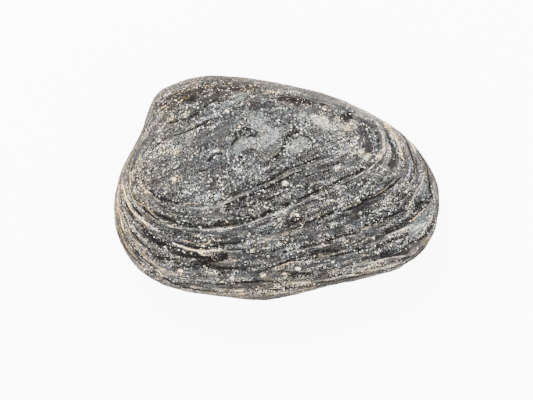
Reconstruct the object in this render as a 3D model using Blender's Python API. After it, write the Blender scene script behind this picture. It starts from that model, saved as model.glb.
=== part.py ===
"""Fossil bivalve: a closed clam shell turned to one piece of worn grey stone.

Both valves are shut and have become one solid, so this is one object.  It lies on its lower
valve.  +X runs along the shell to its rounded hind end, +Y to the hinge side and +Z up
through the crown of the upper valve.  The origin is under the middle of the shell, on the
worn flat that it rests on.

Each valve is half of a sphere's mesh.  Its pole becomes the crown of the valve, its rings
become growth lines, and its equator becomes the rim where the two valves meet.
"""

import math

import bmesh
import bpy
import numpy as np
from mathutils import Vector, noise

MM = 0.001

# Driving dimensions of the whole stone.
SHELL_LENGTH = 80.0 * MM
SHELL_HEIGHT = 55.2 * MM
SHELL_THICKNESS = 34.0 * MM

# The rim between the valves: how high it runs, and how much lower on the hinge side.
RIM_LEVEL = 15.2 * MM
RIM_TILT = 0.055

# The crowns of the two valves, in plan, and how far the lower one is worn away.
UPPER_CROWN = (-10.1 * MM, 11.7 * MM)
LOWER_CROWN = (-3.0 * MM, 1.5 * MM)
WORN_OFF_BELOW = 0.7 * MM

# How full each valve is: a higher fullness keeps it high further out, and a lower edge power
# makes its wall drop more steeply.  Both change from the beak round to the hind end.
FULLNESS_AT_BEAK = 2.75
FULLNESS_BEHIND = 2.05
WALL_POWER_AT_BEAK = 0.50
WALL_POWER_BEHIND = 0.58
BEAK_DIRECTION = math.radians(165.0)

# Outline of the rim from above, in millimetres, anticlockwise from the hind end.
RIM_OUTLINE = (
    (40.0, -3.5), (38.5, 3.5), (34.6, 9.4), (30.2, 13.8), (25.3, 17.1), (18.0, 20.9),
    (10.2, 23.6), (2.2, 25.5), (-6.4, 27.0), (-12.6, 27.5), (-18.8, 27.2), (-24.4, 25.7),
    (-29.2, 23.2), (-31.4, 19.4), (-33.9, 12.8), (-37.0, 6.9), (-39.4, 0.0), (-40.1, -5.6),
    (-38.8, -12.0), (-35.6, -17.7), (-30.6, -22.3), (-23.7, -25.2), (-14.4, -26.7),
    (-5.4, -27.7), (4.4, -26.1), (14.6, -23.8), (24.0, -21.6), (31.0, -19.2), (36.4, -15.0),
    (39.0, -9.6),
)

# Growth lines of the upper valve, from the crown outwards, traced the same way.
FIRST_LINE = (
    (14.0, 7.5), (17.5, 9.5), (18.5, 12.0), (17.0, 16.0), (10.5, 19.5), (2.0, 21.5),
    (-7.0, 22.0), (-16.0, 20.0), (-23.5, 15.0), (-29.5, 10.0), (-32.0, 5.5), (-31.0, 1.0),
    (-27.5, -3.5), (-21.0, -5.0), (-13.0, -4.0), (-4.5, -0.5), (5.0, 4.5),
)
SECOND_LINE = (
    (24.5, 7.5), (26.5, 10.0), (25.5, 14.0), (21.0, 18.5), (11.0, 21.5), (0.5, 24.0),
    (-10.0, 25.0), (-19.5, 23.0), (-27.5, 19.0), (-32.5, 12.5), (-35.5, 6.5), (-36.0, 0.0),
    (-32.5, -4.5), (-27.5, -8.0), (-18.5, -10.0), (-9.5, -9.5), (0.5, -6.0), (9.5, -2.0),
    (18.5, 2.0),
)
THIRD_LINE = (
    (28.5, 0.5), (31.0, 5.0), (30.5, 9.0), (27.5, 14.5), (21.0, 19.0), (10.5, 22.5),
    (-0.5, 25.0), (-11.0, 25.5), (-20.0, 24.0), (-28.5, 20.0), (-33.0, 12.5), (-37.0, 5.5),
    (-37.5, -0.5), (-34.5, -5.5), (-30.0, -10.0), (-23.5, -13.0), (-16.0, -14.5),
    (-8.0, -13.5), (3.5, -9.5), (12.5, -6.5), (22.0, -3.5),
)
FOURTH_LINE = (
    (33.0, -3.0), (35.5, 1.5), (34.0, 7.5), (30.5, 12.0), (24.5, 17.0), (16.0, 20.5),
    (6.0, 23.5), (-3.5, 26.0), (-13.0, 26.5), (-21.0, 25.5), (-27.5, 22.5), (-31.0, 19.0),
    (-33.5, 13.0), (-37.5, 5.5), (-39.0, -0.5), (-37.0, -6.5), (-33.0, -12.5),
    (-27.5, -14.5), (-20.5, -15.5), (-13.0, -16.0), (-3.5, -16.5), (3.5, -15.5),
    (13.5, -13.0), (23.0, -9.5), (29.5, -6.5),
)
FIFTH_LINE = (
    (32.5, -9.0), (35.5, -5.5), (37.0, -2.0), (36.5, 3.0), (34.5, 7.5), (30.5, 12.5),
    (25.0, 17.0), (16.5, 20.5), (6.0, 24.0), (-3.5, 26.0), (-13.0, 26.5), (-21.0, 26.0),
    (-28.0, 22.5), (-31.0, 19.0), (-33.5, 13.0), (-37.5, 5.5), (-39.0, -0.5), (-38.5, -6.5),
    (-35.5, -12.5), (-30.5, -17.5), (-23.5, -19.5), (-18.5, -20.0), (-11.5, -20.5),
    (-3.5, -20.0), (6.0, -18.0), (13.0, -17.0), (20.5, -15.0), (27.0, -11.5),
)
SIXTH_LINE = (
    (37.5, -8.0), (38.5, -4.0), (37.5, 2.0), (35.0, 7.5), (30.5, 12.5), (25.0, 17.0),
    (17.0, 21.0), (6.0, 24.0), (-3.5, 26.5), (-13.0, 27.0), (-21.5, 26.0), (-28.5, 22.5),
    (-31.0, 19.0), (-34.0, 13.0), (-38.0, 5.5), (-39.5, -0.5), (-39.5, -6.0),
    (-37.5, -13.0), (-33.0, -19.0), (-26.5, -22.5), (-18.5, -24.5), (-11.5, -25.5),
    (-3.5, -25.5), (3.5, -24.5), (10.5, -23.0), (16.5, -20.5), (23.5, -18.5), (32.0, -16.5),
    (36.0, -13.0),
)
GROWTH_LINES = (FIRST_LINE, SECOND_LINE, THIRD_LINE, FOURTH_LINE, FIFTH_LINE, SIXTH_LINE)
LEAST_LINE_GAP = 0.25 * MM

# Height of the ledge along each growth line, where it is strongest.
LEDGE_HEIGHTS = (0.45 * MM, 0.75 * MM, 0.70 * MM, 0.95 * MM, 0.65 * MM, 0.75 * MM)
STRONGEST_DIRECTION = math.radians(280.0)
FULL_LEDGE_GAP = 6.0 * MM

# Each ledge rises steeply out of a groove to a sharp crest, and falls away gently outside it.
CREST_WIDTH = 0.22 * MM
GROOVE_WIDTH = 0.50 * MM
SLOPE_WIDTH = 1.3 * MM

# Lower valve: its growth lines as shares of the way from its crown to the rim.
LOWER_LINES = (0.0, 0.50, 0.64, 0.76, 0.87, 1.0)
LOWER_LEDGES = (0.0, 0.45 * MM, 0.55 * MM, 0.60 * MM, 0.45 * MM, 0.0)

# The worn seam between the valves: deepest under the beak, faint round the rest.
SEAM_AT_BEAK = 0.85 * MM
SEAM_ELSEWHERE = 0.30 * MM
SEAM_HALF_WIDTH = 0.9 * MM

# Pits (negative) and low lumps (positive) of the upper valve: x, y, radius and height in mm.
MARKS = (
    (17.4, 17.1, 2.2, -0.90),
    (-6.9, 13.5, 2.4, -0.50),
    (21.3, 10.0, 2.4, -0.45),
    (2.6, 11.6, 1.8, -0.45),
    (34.4, -15.0, 2.0, -0.80),
    (31.8, -17.6, 1.5, -0.60),
    (3.6, -21.0, 2.2, -0.50),
    (-21.5, -24.2, 2.0, -0.45),
    (-5.2, 15.9, 3.2, 0.35),
    (-2.0, 9.6, 4.2, 0.40),
    (7.6, 9.6, 2.6, 0.30),
    (35.5, -6.5, 3.4, 0.40),
)
LUMP_SIZES = (11.0 * MM, 5.0 * MM)
LUMP_HEIGHTS = (0.45 * MM, 0.22 * MM)

# Mesh: columns around the rim, and rings from each crown to the rim, in growth-line bands.
COLUMNS = 60
RINGS_PER_BAND = (8, 5, 4, 5, 4, 4, 6)
RINGS = sum(RINGS_PER_BAND)

STONE_COLOUR = (0.235, 0.222, 0.210, 1.0)
STONE_ROUGHNESS = 0.70


def clear_scene():
    """Remove the objects of the startup scene."""
    for existing in list(bpy.data.objects):
        bpy.data.objects.remove(existing, do_unlink=True)


def closed_curve(points, steps=12):
    """Smooth closed curve through points in millimetres, as an array in metres."""
    corners = np.array(points) * MM
    count = len(corners)
    curve = []
    for index in range(count):
        before = corners[index - 1]
        start = corners[index]
        end = corners[(index + 1) % count]
        after = corners[(index + 2) % count]
        span = np.linalg.norm(end - start)
        span_before = np.linalg.norm(start - before)
        span_after = np.linalg.norm(after - end)
        leave = (end - before) * span / (span + span_before)
        arrive = (after - start) * span / (span + span_after)
        for step in range(steps):
            t = step / steps
            from_start = (2 * t ** 3 - 3 * t ** 2 + 1) * start + (t ** 3 - 2 * t ** 2 + t) * leave
            to_end = (3 * t ** 2 - 2 * t ** 3) * end + (t ** 3 - t ** 2) * arrive
            curve.append(from_start + to_end)
    return np.array(curve)


def evenly_spaced(curve, count):
    """Points at equal distances along a closed curve."""
    closed = np.vstack([curve, curve[:1]])
    lengths = np.linalg.norm(np.diff(closed, axis=0), axis=1)
    travelled = np.concatenate([[0.0], np.cumsum(lengths)])
    wanted = np.arange(count) * travelled[-1] / count
    xs = np.interp(wanted, travelled, closed[:, 0])
    ys = np.interp(wanted, travelled, closed[:, 1])
    return np.stack([xs, ys], axis=1)


def distances_from(centre, curve, directions):
    """Distance from a centre to a closed curve around it, in each of the directions."""
    offsets = curve - np.array(centre)
    around = np.arctan2(offsets[:, 1], offsets[:, 0])
    away = np.hypot(offsets[:, 0], offsets[:, 1])
    return np.interp(directions, around, away, period=2 * math.pi)


def beak_share(direction):
    """1 towards the beak, 0 towards the opposite end of the shell."""
    return 0.5 + 0.5 * math.cos(direction - BEAK_DIRECTION)


def dome(share_out, direction):
    """Height of a valve above its rim, as a share, at a share of the way out to the rim."""
    beak = beak_share(direction)
    fullness = FULLNESS_BEHIND + (FULLNESS_AT_BEAK - FULLNESS_BEHIND) * beak
    power = WALL_POWER_BEHIND + (WALL_POWER_AT_BEAK - WALL_POWER_BEHIND) * beak
    return max(0.0, 1.0 - share_out ** fullness) ** power


def rim_height(rim_point):
    """The rim runs a little lower on the hinge side."""
    return RIM_LEVEL - RIM_TILT * rim_point[1]


def ledge(past, ahead, height_here, height_next):
    """Relief between two growth lines, at distances past the first and ahead of the second."""
    rise = (1.0 - ahead / CREST_WIDTH) * math.exp(-ahead / GROOVE_WIDTH)
    return height_here * math.exp(-past / SLOPE_WIDTH) + height_next * rise


def ledge_strength(direction, gap):
    """Ledges fade towards the hinge, and where the growth lines crowd together."""
    facing = 0.62 + 0.75 * math.cos(direction - STRONGEST_DIRECTION)
    return min(1.0, max(0.12, facing)) * min(1.0, gap / FULL_LEDGE_GAP)


def crest_height(line, column, direction, bounds):
    """Height of the ledge along one growth line of the upper valve, 0 at the crown and the rim."""
    if line in (0, len(GROWTH_LINES) + 1):
        return 0.0
    before = bounds[line][column] - bounds[line - 1][column]
    after = bounds[line + 1][column] - bounds[line][column]
    return LEDGE_HEIGHTS[line - 1] * ledge_strength(direction, min(before, after))


def ring_stations():
    """For each ring of the upper valve: its growth-line band and the share across that band."""
    stations = []
    for band, rings in enumerate(RINGS_PER_BAND):
        for step in range(rings):
            share = step / rings
            if band == len(RINGS_PER_BAND) - 1:
                share = math.sin(share * math.pi / 2)
            stations.append((band, share))
    stations.append((len(RINGS_PER_BAND) - 1, 1.0))
    return stations


def upper_columns(rim_points):
    """Distances of the growth lines from the upper crown, for each point of the rim."""
    offsets = rim_points - np.array(UPPER_CROWN)
    directions = np.arctan2(offsets[:, 1], offsets[:, 0])
    bounds = [np.hypot(offsets[:, 0], offsets[:, 1])]
    for line in reversed(GROWTH_LINES):
        traced = distances_from(UPPER_CROWN, closed_curve(line), directions)
        bounds.append(np.minimum(traced, bounds[-1] - LEAST_LINE_GAP))
    bounds.append(np.zeros(len(rim_points)))
    return directions, np.array(bounds[::-1])


def upper_point(column, station, rim_point, directions, bounds):
    """Place and ledge relief of one vertex of the upper valve."""
    band, share = station
    direction = directions[column]
    inner = bounds[band][column]
    outer = bounds[band + 1][column]
    distance = inner + (outer - inner) * share
    level = rim_height(rim_point)
    x = UPPER_CROWN[0] + distance * math.cos(direction)
    y = UPPER_CROWN[1] + distance * math.sin(direction)
    z = level + (SHELL_THICKNESS - level) * dome(distance / bounds[-1][column], direction)
    height_here = crest_height(band, column, direction, bounds)
    height_next = crest_height(band + 1, column, direction, bounds)
    relief = ledge(distance - inner, outer - distance, height_here, height_next)
    return Vector((x, y, z)), relief


def lower_point(ring, rim_point):
    """Place and ledge relief of one vertex of the lower valve."""
    share_out = math.sin(ring / RINGS * math.pi / 2)
    offset = rim_point - np.array(LOWER_CROWN)
    direction = math.atan2(offset[1], offset[0])
    level = rim_height(rim_point)
    depth = (level + WORN_OFF_BELOW) * dome(share_out, direction)
    x, y = np.array(LOWER_CROWN) + offset * share_out
    band = min(int(np.searchsorted(LOWER_LINES, share_out, side="right")) - 1, len(LOWER_LINES) - 2)
    width = LOWER_LINES[band + 1] - LOWER_LINES[band]
    share = (share_out - LOWER_LINES[band]) / width
    gap = np.hypot(*offset) * width
    relief = ledge(gap * share, gap * (1.0 - share), LOWER_LEDGES[band], LOWER_LEDGES[band + 1])
    return Vector((x, y, level - depth)), ledge_strength(direction, gap) * relief


def seam(place, rim_point):
    """Depth of the worn seam between the valves, which is deepest under the beak."""
    direction = math.atan2(rim_point[1], rim_point[0])
    near_beak = beak_share(direction) ** 6
    depth = SEAM_ELSEWHERE + (SEAM_AT_BEAK - SEAM_ELSEWHERE) * near_beak
    away = (place.z - rim_height(rim_point)) / SEAM_HALF_WIDTH
    return -depth * math.exp(-away ** 2)


def lumps(place):
    """Gentle unevenness all over, left by wear."""
    total = 0.0
    for size, height in zip(LUMP_SIZES, LUMP_HEIGHTS):
        total += height * noise.noise(place / size)
    return total


def marks(place):
    """Pits and low lumps of the upper valve."""
    total = 0.0
    for x, y, radius, height in MARKS:
        away = math.hypot(place.x - x * MM, place.y - y * MM) / (radius * MM)
        total += height * MM * math.exp(-away ** 2)
    return total


def shape_valves(mesh):
    """Move the sphere's vertices to the two valves, then raise the relief along the surface."""
    rim_points = evenly_spaced(closed_curve(RIM_OUTLINE), COLUMNS)
    directions, bounds = upper_columns(rim_points)
    stations = ring_stations()
    reliefs = {}
    for vertex in mesh.verts:
        turn = math.atan2(vertex.co.y, vertex.co.x) / (2 * math.pi)
        column = round(turn * COLUMNS) % COLUMNS
        ring = round(math.acos(max(-1.0, min(1.0, vertex.co.z))) / math.pi * 2 * RINGS)
        rim_point = rim_points[column]
        if ring <= RINGS:
            place, relief = upper_point(column, stations[ring], rim_point, directions, bounds)
            relief += marks(place)
        else:
            place, relief = lower_point(2 * RINGS - ring, rim_point)
        reliefs[vertex] = relief + seam(place, rim_point) + lumps(place)
        vertex.co = place
    mesh.normal_update()
    normals = {vertex: vertex.normal.copy() for vertex in mesh.verts}
    for vertex in mesh.verts:
        vertex.co += normals[vertex] * reliefs[vertex]


def wear_flat(mesh):
    """Wear the lowest part of the lower valve to one flat face on the ground."""
    for vertex in mesh.verts:
        vertex.co.z = max(0.0, vertex.co.z)
    worn = [face for face in mesh.faces if all(vertex.co.z == 0.0 for vertex in face.verts)]
    bmesh.ops.dissolve_faces(mesh, faces=worn, use_verts=True)


def fit_to_size(mesh):
    """Bring the stone to its exact size, with the origin under its middle."""
    places = np.array([vertex.co for vertex in mesh.verts])
    low = places.min(axis=0)
    high = places.max(axis=0)
    middle = (low + high) / 2
    sizes = (SHELL_LENGTH, SHELL_HEIGHT, SHELL_THICKNESS)
    for vertex in mesh.verts:
        vertex.co.x = (vertex.co.x - middle[0]) * sizes[0] / (high[0] - low[0])
        vertex.co.y = (vertex.co.y - middle[1]) * sizes[1] / (high[1] - low[1])
        vertex.co.z *= sizes[2] / high[2]


def stone_material():
    """Worn grey stone."""
    material = bpy.data.materials.new("grey_stone")
    material.use_nodes = True
    shader = material.node_tree.nodes["Principled BSDF"]
    shader.inputs["Base Color"].default_value = STONE_COLOUR
    shader.inputs["Roughness"].default_value = STONE_ROUGHNESS
    shader.inputs["Metallic"].default_value = 0.0
    return material


def fossil_bivalve():
    """The whole fossil: both valves shut, as one solid stone."""
    mesh = bmesh.new()
    bmesh.ops.create_uvsphere(mesh, u_segments=COLUMNS, v_segments=2 * RINGS, radius=1.0)
    shape_valves(mesh)
    wear_flat(mesh)
    fit_to_size(mesh)
    data = bpy.data.meshes.new("fossil_bivalve")
    mesh.to_mesh(data)
    mesh.free()
    data.materials.append(stone_material())
    data.shade_smooth()
    data.set_sharp_from_angle(angle=math.radians(45.0))
    stone = bpy.data.objects.new("fossil_bivalve", data)
    bpy.context.scene.collection.objects.link(stone)
    return stone


clear_scene()
fossil_bivalve()
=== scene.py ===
import math
import random

import bmesh
import bpy
import numpy as np
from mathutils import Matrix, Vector, noise


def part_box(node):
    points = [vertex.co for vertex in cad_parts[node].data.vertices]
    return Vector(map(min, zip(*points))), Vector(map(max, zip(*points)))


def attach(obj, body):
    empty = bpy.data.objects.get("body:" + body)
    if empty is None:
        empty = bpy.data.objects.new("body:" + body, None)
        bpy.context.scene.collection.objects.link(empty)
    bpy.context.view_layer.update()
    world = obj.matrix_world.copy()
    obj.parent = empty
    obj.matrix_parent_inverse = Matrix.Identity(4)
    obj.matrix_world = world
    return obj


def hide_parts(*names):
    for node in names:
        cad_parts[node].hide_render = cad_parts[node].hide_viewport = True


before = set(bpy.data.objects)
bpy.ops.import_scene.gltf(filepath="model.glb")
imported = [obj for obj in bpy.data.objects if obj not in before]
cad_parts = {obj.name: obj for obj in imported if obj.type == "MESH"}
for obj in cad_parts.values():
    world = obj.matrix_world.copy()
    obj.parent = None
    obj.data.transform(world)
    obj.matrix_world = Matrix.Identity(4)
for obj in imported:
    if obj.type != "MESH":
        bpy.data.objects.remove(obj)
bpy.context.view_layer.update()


# --- The stone -------------------------------------------------------------------------------
# The whole fossil is one mass of dark speckled stone: two shut valves and the hardened sand
# between them.  Waves have worn it round, and the growth lines stand out on it as ledges.

MM = 0.001

# Outline of the rim from above, in millimetres, anticlockwise from the hind end.
RIM_OUTLINE = (
    (40, -3.5), (38.5, 3.5), (34.6, 9.4), (30.2, 13.8), (25.3, 17.1), (18, 20.9), (10.2, 23.6),
    (2.2, 25.5), (-6.4, 27), (-12.6, 27.5), (-18.8, 27.2), (-24.4, 25.7), (-29.2, 23.2),
    (-31.4, 19.4), (-33.9, 12.8), (-37, 6.9), (-39.4, 0), (-40.1, -5.6), (-38.8, -12), (-35.6, -17.7),
    (-30.6, -22.3), (-23.7, -25.2), (-14.4, -26.7), (-5.4, -27.7), (4.4, -26.1), (14.6, -23.8),
    (24, -21.6), (31, -19.2), (36.4, -15), (39, -9.6),
)

# The six main growth lines of the upper valve, from the crown outwards.
GROWTH_LINES = (
    ((14, 7.5), (17.5, 9.5), (18.5, 12), (17, 16), (10.5, 19.5), (2, 21.5), (-7, 22), (-16, 20),
     (-23.5, 15), (-29.5, 10), (-32, 5.5), (-31, 1), (-27.5, -3.5), (-21, -5), (-13, -4),
     (-4.5, -0.5), (5, 4.5)),
    ((24.5, 7.5), (26.5, 10), (25.5, 14), (21, 18.5), (11, 21.5), (0.5, 24), (-10, 25), (-19.5, 23),
     (-27.5, 19), (-32.5, 12.5), (-35.5, 6.5), (-36, 0), (-32.5, -4.5), (-27.5, -8), (-18.5, -10),
     (-9.5, -9.5), (0.5, -6), (9.5, -2), (18.5, 2)),
    ((28.5, 0.5), (31, 5), (30.5, 9), (27.5, 14.5), (21, 19), (10.5, 22.5), (-0.5, 25), (-11, 25.5),
     (-20, 24), (-28.5, 20), (-33, 12.5), (-37, 5.5), (-37.5, -0.5), (-34.5, -5.5), (-30, -10),
     (-23.5, -13), (-16, -14.5), (-8, -13.5), (3.5, -9.5), (12.5, -6.5), (22, -3.5)),
    ((33, -3), (35.5, 1.5), (34, 7.5), (30.5, 12), (24.5, 17), (16, 20.5), (6, 23.5), (-3.5, 26),
     (-13, 26.5), (-21, 25.5), (-27.5, 22.5), (-31, 19), (-33.5, 13), (-37.5, 5.5), (-39, -0.5),
     (-37, -6.5), (-33, -12.5), (-27.5, -14.5), (-20.5, -15.5), (-13, -16), (-3.5, -16.5),
     (3.5, -15.5), (13.5, -13), (23, -9.5), (29.5, -6.5)),
    ((32.5, -9), (35.5, -5.5), (37, -2), (36.5, 3), (34.5, 7.5), (30.5, 12.5), (25, 17),
     (16.5, 20.5), (6, 24), (-3.5, 26), (-13, 26.5), (-21, 26), (-28, 22.5), (-31, 19), (-33.5, 13),
     (-37.5, 5.5), (-39, -0.5), (-38.5, -6.5), (-35.5, -12.5), (-30.5, -17.5), (-23.5, -19.5),
     (-18.5, -20), (-11.5, -20.5), (-3.5, -20), (6, -18), (13, -17), (20.5, -15), (27, -11.5)),
    ((37.5, -8), (38.5, -4), (37.5, 2), (35, 7.5), (30.5, 12.5), (25, 17), (17, 21), (6, 24),
     (-3.5, 26.5), (-13, 27), (-21.5, 26), (-28.5, 22.5), (-31, 19), (-34, 13), (-38, 5.5),
     (-39.5, -0.5), (-39.5, -6), (-37.5, -13), (-33, -19), (-26.5, -22.5), (-18.5, -24.5),
     (-11.5, -25.5), (-3.5, -25.5), (3.5, -24.5), (10.5, -23), (16.5, -20.5), (23.5, -18.5),
     (32, -16.5), (36, -13)),
)

# The middles of the two valves, the thickness, and the rim, which is higher towards the front.
# The lower valve is worn off flat underneath.
UPPER_CROWN = np.array((-10.1, 11.7)) * MM
LOWER_CROWN = np.array((-3.0, 1.5)) * MM
THICKNESS = 34.0 * MM
RIM_LEVEL = 15.2 * MM
RIM_TILT = 0.055
WORN_OFF_BELOW = 0.7 * MM
LEAST_LINE_GAP = 0.25 * MM

# How full the valves are, and how steeply their walls drop, at the beak and behind.
FULLNESS = (2.75, 2.05)
WALL_POWER = (0.50, 0.58)
BEAK_DIRECTION = math.radians(165.0)

# Ledges along the growth lines: each rises steeply out of a groove to a sharp crest, and falls
# away gently on its outer side.
LEDGE_HEIGHTS = np.array((0.0, 0.45, 0.75, 0.70, 0.95, 0.65, 0.75, 0.0)) * MM
STRONGEST_DIRECTION = math.radians(280.0)
AVERAGE_LEDGE = 0.62
LEDGE_SWING = 0.75
FAINTEST_LEDGE = 0.12
FULL_LEDGE_GAP = 6.0 * MM
CREST_WIDTH = 0.22 * MM
GROOVE_WIDTH = 0.50 * MM
SLOPE_WIDTH = 1.3 * MM
LOWER_LINES = np.array((0.0, 0.50, 0.64, 0.76, 0.87, 1.0))
LOWER_LEDGES = np.array((0.0, 0.45, 0.55, 0.60, 0.45, 0.0)) * MM
LOWER_BANDS = len(LOWER_LINES) - 1

# The growth lines wander a little.  Fine ridges run between them, and the stone is rough.
LINE_WOBBLE = 0.45
LINE_WOBBLE_SIZE = 7.0
RIDGES_IN_BAND = 5.0
RIDGE_HEIGHT = 0.09 * MM
ROUGHNESS_HEIGHT = 0.12 * MM
ROUGHNESS_SIZE = 2.6
SMALL_PITS = 220
SMALL_PIT_RADII = (0.35, 1.1)
SMALL_PIT_DEPTHS = (0.08, 0.30)

SEAM_AT_BEAK = 0.85 * MM
SEAM_ELSEWHERE = 0.30 * MM
SEAM_HALF_WIDTH = 0.9 * MM

# Pits (negative) and low lumps (positive): x, y, radius and height in millimetres.  Broad
# lumps over the whole stone: size and height in millimetres.
PITS_AND_LUMPS = (
    (17.4, 17.1, 2.2, -0.9), (-6.9, 13.5, 2.4, -0.5), (21.3, 10, 2.4, -0.45), (2.6, 11.6, 1.8, -0.45),
    (34.4, -15, 2, -0.8), (31.8, -17.6, 1.5, -0.6), (3.6, -21, 2.2, -0.5), (-21.5, -24.2, 2, -0.45),
    (-5.2, 15.9, 3.2, 0.35), (-2, 9.6, 4.2, 0.4), (7.6, 9.6, 2.6, 0.3), (35.5, -6.5, 3.4, 0.4),
)
BROAD_LUMPS = ((11.0, 0.45), (5.0, 0.22))

# The crown's layers lie at an angle.  The others follow the growth lines.
LAYER_TURN = math.radians(27.0)
LAYER_DENSITY = 1.5
LAYERS_IN_BAND = 7.0
LAYER_RADIUS = 35.0

# The mesh: columns round the stone, and rings in each band between two growth lines.
COLUMNS = 400
BAND_RINGS = (54, 26, 22, 24, 20, 20, 26)
RING_CROWDING = 0.09
UPPER_RINGS = sum(BAND_RINGS)
LOWER_RINGS = 52
ALL_RINGS = UPPER_RINGS + LOWER_RINGS


def smooth_curve(points, closed=True, steps=12):
    """Smooth curve through points in millimetres, as an array in metres."""
    corners = np.array(points, dtype=float) * MM
    if closed:
        corners = np.vstack([corners[-1:], corners, corners[:2]])
    else:
        first = 2 * corners[:1] - corners[1:2]
        last = 2 * corners[-1:] - corners[-2:-1]
        corners = np.vstack([first, corners, last])
    curve = []
    for index in range(1, len(corners) - 2):
        before, start, end, after = corners[index - 1:index + 3]
        span = np.linalg.norm(end - start)
        leave = (end - before) * span / (span + np.linalg.norm(start - before))
        arrive = (after - start) * span / (span + np.linalg.norm(after - end))
        for t in np.arange(steps) / steps:
            from_start = (2 * t ** 3 - 3 * t ** 2 + 1) * start + (t ** 3 - 2 * t ** 2 + t) * leave
            to_end = (3 * t ** 2 - 2 * t ** 3) * end + (t ** 3 - t ** 2) * arrive
            curve.append(from_start + to_end)
    if not closed:
        curve.append(corners[-2])
    return np.array(curve)


def evenly_spaced(curve, count):
    """Points at equal distances along a closed curve."""
    closed = np.vstack([curve, curve[:1]])
    lengths = np.linalg.norm(np.diff(closed, axis=0), axis=1)
    travelled = np.concatenate([[0.0], np.cumsum(lengths)])
    wanted = np.arange(count) * travelled[-1] / count
    return np.stack([np.interp(wanted, travelled, closed[:, axis]) for axis in (0, 1)], axis=1)


def line_distances(rim_points):
    """Directions from the upper crown, and distances to each growth line and to the rim."""
    offsets = rim_points - UPPER_CROWN
    directions = np.arctan2(offsets[:, 1], offsets[:, 0])
    bounds = [np.hypot(offsets[:, 0], offsets[:, 1])]
    for line in reversed(GROWTH_LINES):
        from_crown = smooth_curve(line) - UPPER_CROWN
        around = np.arctan2(from_crown[:, 1], from_crown[:, 0])
        away = np.hypot(from_crown[:, 0], from_crown[:, 1])
        traced = np.interp(directions, around, away, period=2 * math.pi)
        bounds.append(np.minimum(traced, bounds[-1] - LEAST_LINE_GAP))
    bounds.append(np.zeros(len(rim_points)))
    return directions, np.array(bounds[::-1])


def towards_beak(direction):
    """1 towards the beak, 0 towards the opposite end of the shell."""
    return 0.5 + 0.5 * np.cos(direction - BEAK_DIRECTION)


def dome(share_out, direction):
    """Height of a valve above its rim, as a share, at a share of the way out to the rim."""
    beak = towards_beak(direction)
    fullness = FULLNESS[1] + (FULLNESS[0] - FULLNESS[1]) * beak
    power = WALL_POWER[1] + (WALL_POWER[0] - WALL_POWER[1]) * beak
    return np.maximum(0.0, 1.0 - share_out ** fullness) ** power


def ledge(past, ahead, height_here, height_next):
    """Relief between two growth lines, at distances past the first and ahead of the second."""
    rise = (1.0 - ahead / CREST_WIDTH) * np.exp(-ahead / GROOVE_WIDTH)
    return height_here * np.exp(-past / SLOPE_WIDTH) + height_next * rise


def ledge_strength(direction, gap):
    """Ledges fade towards the hinge, and where the growth lines crowd together."""
    facing = AVERAGE_LEDGE + LEDGE_SWING * np.cos(direction - STRONGEST_DIRECTION)
    return np.clip(facing, FAINTEST_LEDGE, 1.0) * np.minimum(1.0, gap / FULL_LEDGE_GAP)


def unevenness(places, size, octaves=1, shift=0.0):
    """Smooth noise between about -1 and 1 at each place; size is that of its lumps in mm."""
    scaled = (places / (size * MM) + shift).tolist()
    if octaves == 1:
        return np.array([noise.noise(Vector(place)) for place in scaled])
    return np.array([noise.fractal(Vector(place), 0.9, 2.1, octaves) for place in scaled])


def distance_to(places, curve):
    """Distance in plan from each place to a curve: positive on its left, negative on its right."""
    nearest = np.full(len(places), 1.0)
    for start, end in zip(curve[:-1], curve[1:]):
        along = end - start
        share = np.clip(((places[:, :2] - start) @ along) / max(along @ along, 1e-12), 0.0, 1.0)
        gap = places[:, :2] - start - share[:, None] * along
        side = np.where(along[0] * gap[:, 1] >= along[1] * gap[:, 0], 1.0, -1.0)
        away = np.hypot(gap[:, 0], gap[:, 1])
        nearest = np.where(away < np.abs(nearest), side * away, nearest)
    return nearest


def spot(places, x, y, radius_x, radius_y, turn=0.0):
    """How far out each place is in an oval spot in plan, 1 at its edge; mm and degrees."""
    angle = math.radians(turn)
    dx = places[:, 0] / MM - x
    dy = places[:, 1] / MM - y
    along = (dx * math.cos(angle) + dy * math.sin(angle)) / radius_x
    across = (dy * math.cos(angle) - dx * math.sin(angle)) / radius_y
    return np.hypot(along, across)


def away_from(x, y):
    """Distance in plan of each place from a point given in millimetres."""
    return np.hypot(places[:, 0] - x * MM, places[:, 1] - y * MM)


# A sphere's mesh: one pole is the upper crown, the rings are growth lines, and the ring
# between the two valves is the rim.
sphere = bmesh.new()
bmesh.ops.create_uvsphere(sphere, u_segments=COLUMNS, v_segments=ALL_RINGS, radius=1.0)
stone_mesh = bpy.data.meshes.new("fossil_stone")
sphere.to_mesh(stone_mesh)
sphere.free()
ball = np.empty(3 * len(stone_mesh.vertices))
stone_mesh.vertices.foreach_get("co", ball)
ball = ball.reshape(-1, 3)
around = np.arctan2(ball[:, 1], ball[:, 0]) / (2 * math.pi)
column = np.rint(around * COLUMNS).astype(int) % COLUMNS
ring = np.rint(np.arccos(np.clip(ball[:, 2], -1.0, 1.0)) / math.pi * ALL_RINGS).astype(int)
upper = ring <= UPPER_RINGS

rim_points = evenly_spaced(smooth_curve(RIM_OUTLINE), COLUMNS)
directions, bounds = line_distances(rim_points)
direction = directions[column]
rim_point = rim_points[column]
rim_height = RIM_LEVEL - RIM_TILT * rim_point[:, 1]

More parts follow.
